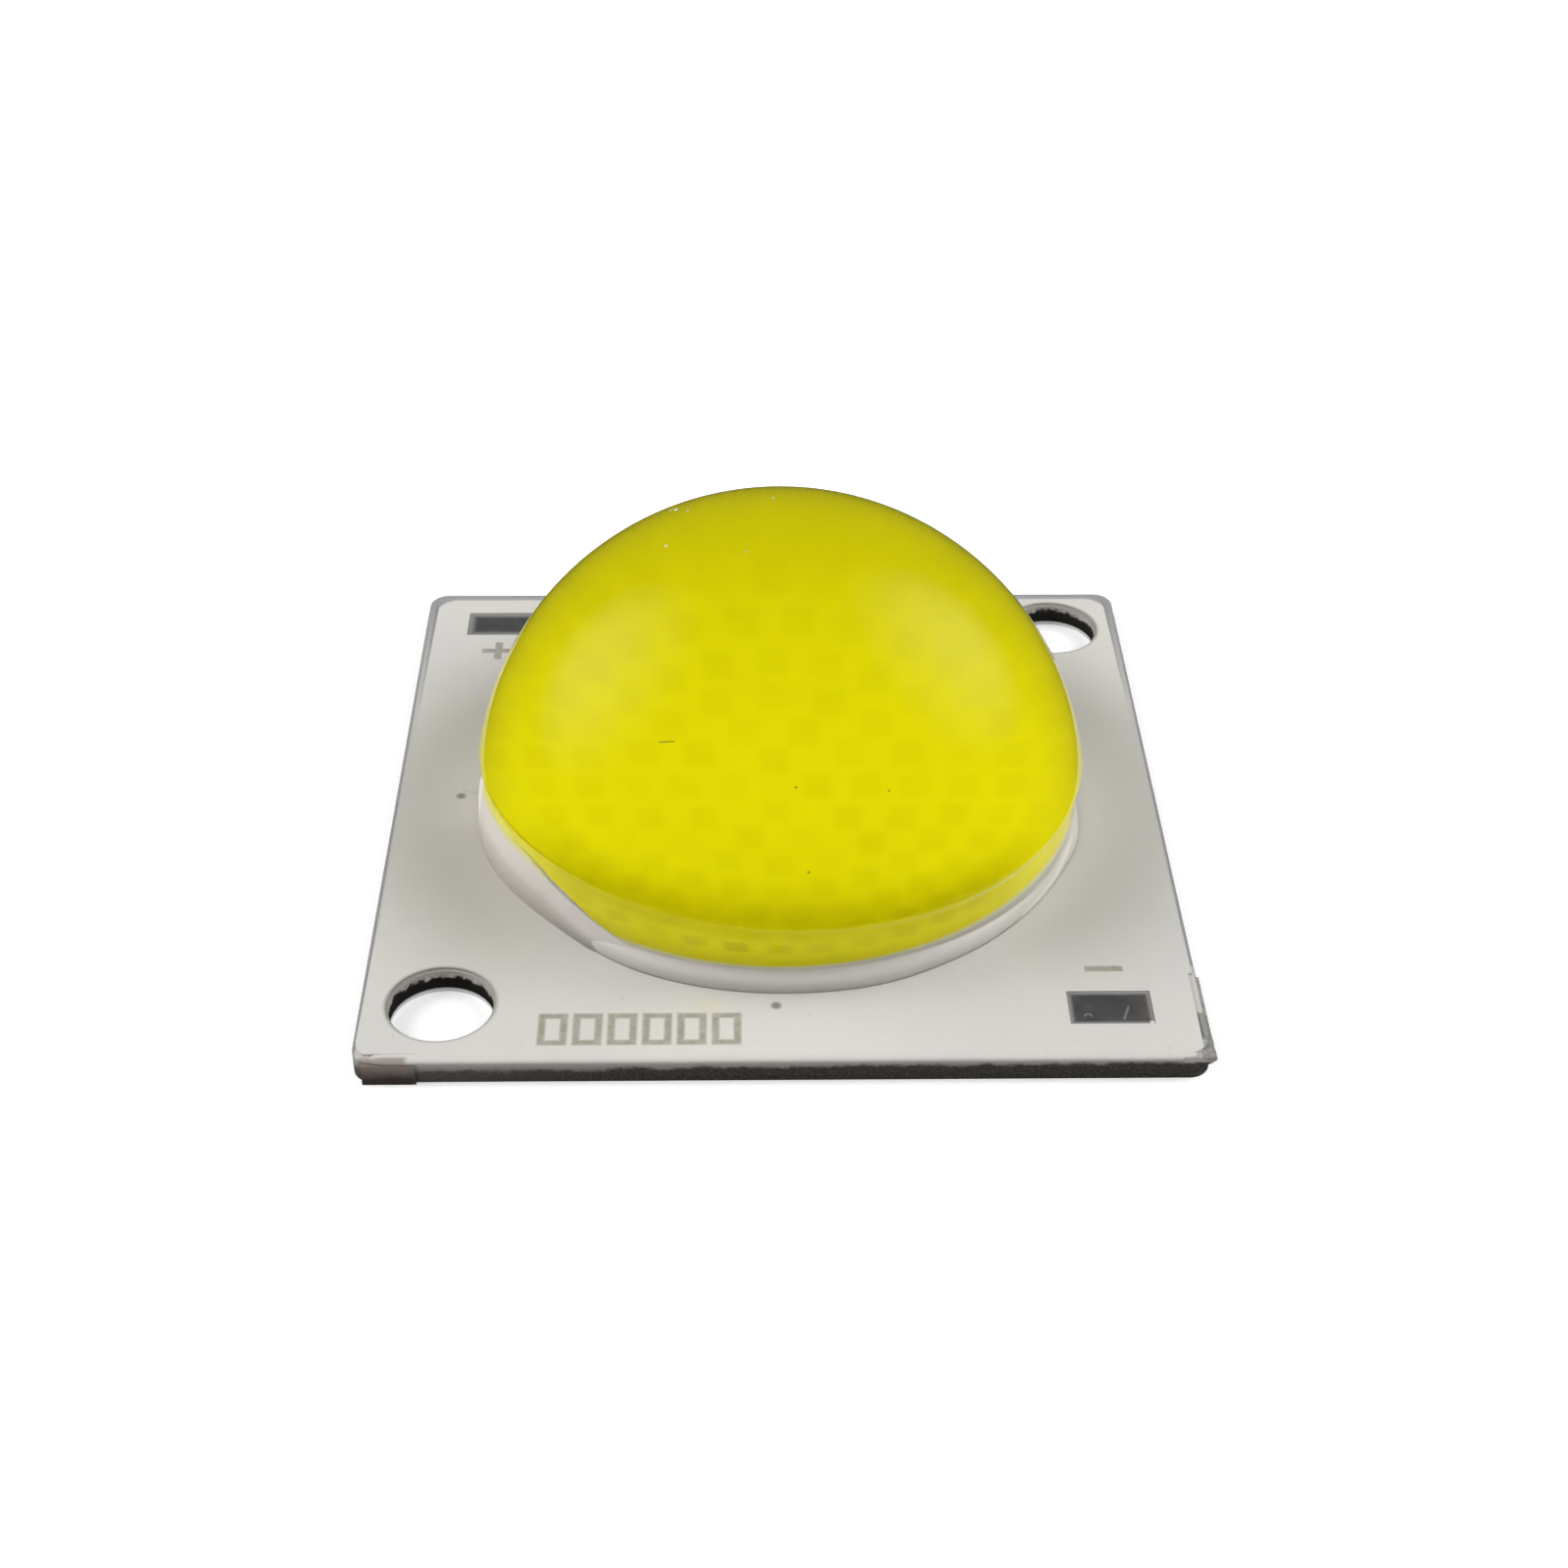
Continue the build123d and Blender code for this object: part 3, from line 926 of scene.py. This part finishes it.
# %% [markdown]
# ### The coat's run-over edge
# At the front the coat ran over the insulating layer and down the edge, so there is a rounded roll
# of it and no grey line. A bar of oval section, half of it inside the board, gives that roll.

# %% Roll the coat over the front edge
roll_sizes = {
    "Left": -13.50 * MM,
    "Right": 13.62 * MM,
    "Front": -half_side - 0.08 * MM,
    "Middle Height": coat_top - 0.145 * MM,
    "Half Height": 0.15 * MM,
    "Half Depth": 0.25 * MM,
}
tree, lengths = shape_tree("coat roll", roll_sizes)
left_end, right_end, front_y, middle_z, half_height, half_depth = lengths
grid, across, forth = flat_grid(tree, 100, 24)
full = (1 - abs(2 * across) ** 60) ** 0.5
wander = 1 + 0.16 * (tree.noise(tree.vector(8 * across, 0.0, 0.0), 0.4) - 0.5)
bar_x = left_end + (right_end - left_end) * (across + 0.5)
bar_y = front_y + half_depth - half_depth * full * wander * tree.maths("COSINE", forth * math.tau)
bar_z = middle_z + half_height * full * tree.maths("SINE", forth * math.tau)
made_of(tree, [moved(tree, grid, bar_x, bar_y, bar_z)], materials["white_coat"])
coat_roll = grown("coat_roll", tree, roll_sizes)
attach(coat_roll, "root")

# %% [markdown]
# ### The torn corner
# Where the board was snapped from its panel, a flap of metal stands out at the front right corner.
# It is a block whose lower end draws in under the board, with noise for its ragged outline.

# %% Tear the corner
flap_sizes = {"Start": 13.02 * MM, "Reach": 1.06 * MM, "Top": 0.93 * MM, "Drawn In": 0.52 * MM}
flap_foot = 0.06 * MM
tree, (start, reach_out, top_z, drawn_in) = shape_tree("torn corner", flap_sizes)
counts = {"Size": (1.0, 1.0, 1.0), "Vertices X": 9, "Vertices Y": 9, "Vertices Z": 9}
block = tree.node("GeometryNodeMeshCube", None, counts)
position = tree.node("GeometryNodeInputPosition")
across, forth, upward = tree.parts(position)
ragged = tree.noise(position, 0.3, detail=3.0) - 0.5
size = reach_out - drawn_in * (0.5 - upward) ** 1.5 + 0.10 * MM * ragged
flap_z = flap_foot + (top_z - flap_foot) * (upward + 0.5)
flap = moved(tree, block, start + size * (across + 0.5), size * (forth - 0.5) - start, flap_z)
made_of(tree, [flap], materials["plate_aluminium"])
torn_corner = grown("torn_corner", tree, flap_sizes)
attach(torn_corner, "root")

# %% [markdown]
# ### Dust and a hair
# A few specks have stuck to the soft dome, and one short hair. Each lies on the cap, where two
# angles give its place, so a loop adds one small flattened ball a speck.


# %% Scatter the dust
def on_cap(azimuth, elevation):
    """A place on the cap, by its angles in degrees, and the way out of the cap there."""
    out = direction(azimuth, elevation)
    return Vector((lens_x, 0, cap_center)) + out * cap_radius, out


dust_specks = [
    (137.1, 62.9, 0.075), (177.2, 69.0, 0.060), (139.7, 67.3, 0.045), (137.1, 61.3, 0.040),
    (95.6, 75.4, 0.045), (224.2, 81.2, 0.040),
]
dark_specks = [(272.1, 37.5, 0.035), (274.1, 23.1, 0.035), (291.6, 34.9, 0.030)]


def scattered(name, specks, material):
    """One flattened ball for each speck, all in one piece."""
    sizes = {"Flatness": 0.5}
    tree, (flatness,) = shape_tree(name, sizes)
    balls = []
    for azimuth, elevation, size in specks:
        seat, out = on_cap(azimuth, elevation)
        ball = tree.node("GeometryNodeMeshIcoSphere", None, {"Radius": size * MM, "Subdivisions": 2})
        sockets = {
            "Geometry": ball,
            "Translation": seat,
            "Rotation": out.to_track_quat("Z", "Y").to_euler(),
            "Scale": tree.vector(1.0, 1.0, flatness),
        }
        balls.append(tree.node("GeometryNodeTransform", None, sockets))
    made_of(tree, balls, material)
    piece = grown(name, tree, sizes)
    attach(piece, "root")


scattered("dust_specks", dust_specks, materials["dust"])
scattered("dark_specks", dark_specks, materials["hair"])

hair_sizes = {"Length": 0.52 * MM, "Thickness": 0.026 * MM}
tree, (length, thickness) = shape_tree("hair shape", hair_sizes)
sockets = {"Vertices": 8, "Radius": thickness / 2, "Depth": length}
fibre = tree.node("GeometryNodeMeshCylinder", None, sockets)
seat, _ = on_cap(-118, 42.25)
lying = Vector((0, math.radians(90), math.radians(4)))
sockets = {"Geometry": fibre, "Translation": seat, "Rotation": lying}
made_of(tree, [tree.node("GeometryNodeTransform", None, sockets)], materials["hair"])
hair = grown("hair", tree, hair_sizes)
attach(hair, "root")

# %% [markdown]
# ## Dressing the solids
# The other solids have the right shape already, so they only take a finish. The record names one
# material slot for each, and the finishes carry the same names, so one loop dresses them all.

# %% Give each solid its finish
for part in frame["record"]["subparts"]:
    solid = frame["nodes"][part["node"]]
    solid.data.materials.clear()
    solid.data.materials.append(materials[part["material_slot"]])
print("finishes:", sorted(materials))

# %% [markdown]
# ## The floor
# A wide pale floor, so that the object's shadow has something to fall on. What the camera sees of
# it, straight or through glass, is lifted to nearly white, and the light on the object stays as
# it is. Near the board it is lifted less, which keeps the shadow, and the lens doesn't mirror it.

# %% Lay the floor
near_lift, near_end, far_start = 0.33, 50, 180
tree, place = finish("floor_paper")
x, y, _ = tree.parts(place)
lifted = near_lift + (1 - near_lift) * tree.smooth(apart(x, y), near_end, far_start)
lifted = lifted * seen_by_eye(tree, ["Is Camera Ray", "Is Glossy Ray", "Is Transmission Ray"])
surface(tree, {
    "Base Color": tree.mix(color(0.92, 0.92, 0.92), color(0.93, 0.93, 0.93), tree.noise(place, 9.0)),
    "Roughness": 0.9,
    "Specular IOR Level": 0.0,
    "Emission Color": tree.vector(lifted, lifted, lifted),
    "Emission Strength": 1.0,
})
floor_half = 2.0
floor = bpy.data.objects.new("floor", bpy.data.meshes.new("floor"))
quarters = ((-1, -1), (1, -1), (1, 1), (-1, 1))
corners = [(across * floor_half, along * floor_half, 0) for across, along in quarters]
floor.data.from_pydata(corners, [], [(0, 1, 2, 3)])
floor.data.materials.append(materials["floor_paper"])
bpy.context.scene.collection.objects.link(floor)
floor.visible_glossy = False
print("floor side in m:", 2 * floor_half)
